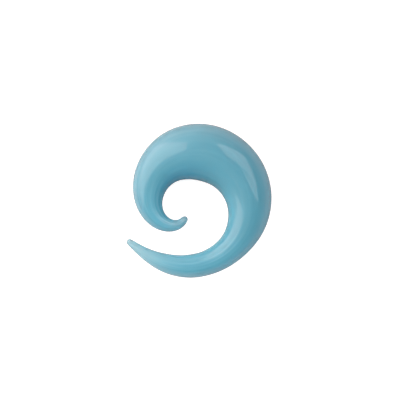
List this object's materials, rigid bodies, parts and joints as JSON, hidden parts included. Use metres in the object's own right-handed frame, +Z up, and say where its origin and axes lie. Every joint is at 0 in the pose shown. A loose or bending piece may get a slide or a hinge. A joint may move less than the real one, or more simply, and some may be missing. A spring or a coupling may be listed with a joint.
{
  "type": "spiral ear taper",
  "caption": "Flat spiral of solid rod worn in a stretched earlobe: thick at the crown where the lobe sits, curling to a small inner tip and thinning to a slim outer tail.",
  "frame": {"origin": "under the middle of the spiral, on the surface that it lies on", "axes": "+Z up from that surface, +Y from the tail's side of the spiral towards its crown, +X to the right with the tail at the left"},
  "size_m": [0.0302, 0.032, 0.012],
  "materials": {
    "aqua_glass": "opaque light aqua glass, smooth and glossy, with faint streaks along the rod"
  },
  "bodies": {
    "root": {"glass_spiral": "aqua_glass"}
  },
  "joints": []
}
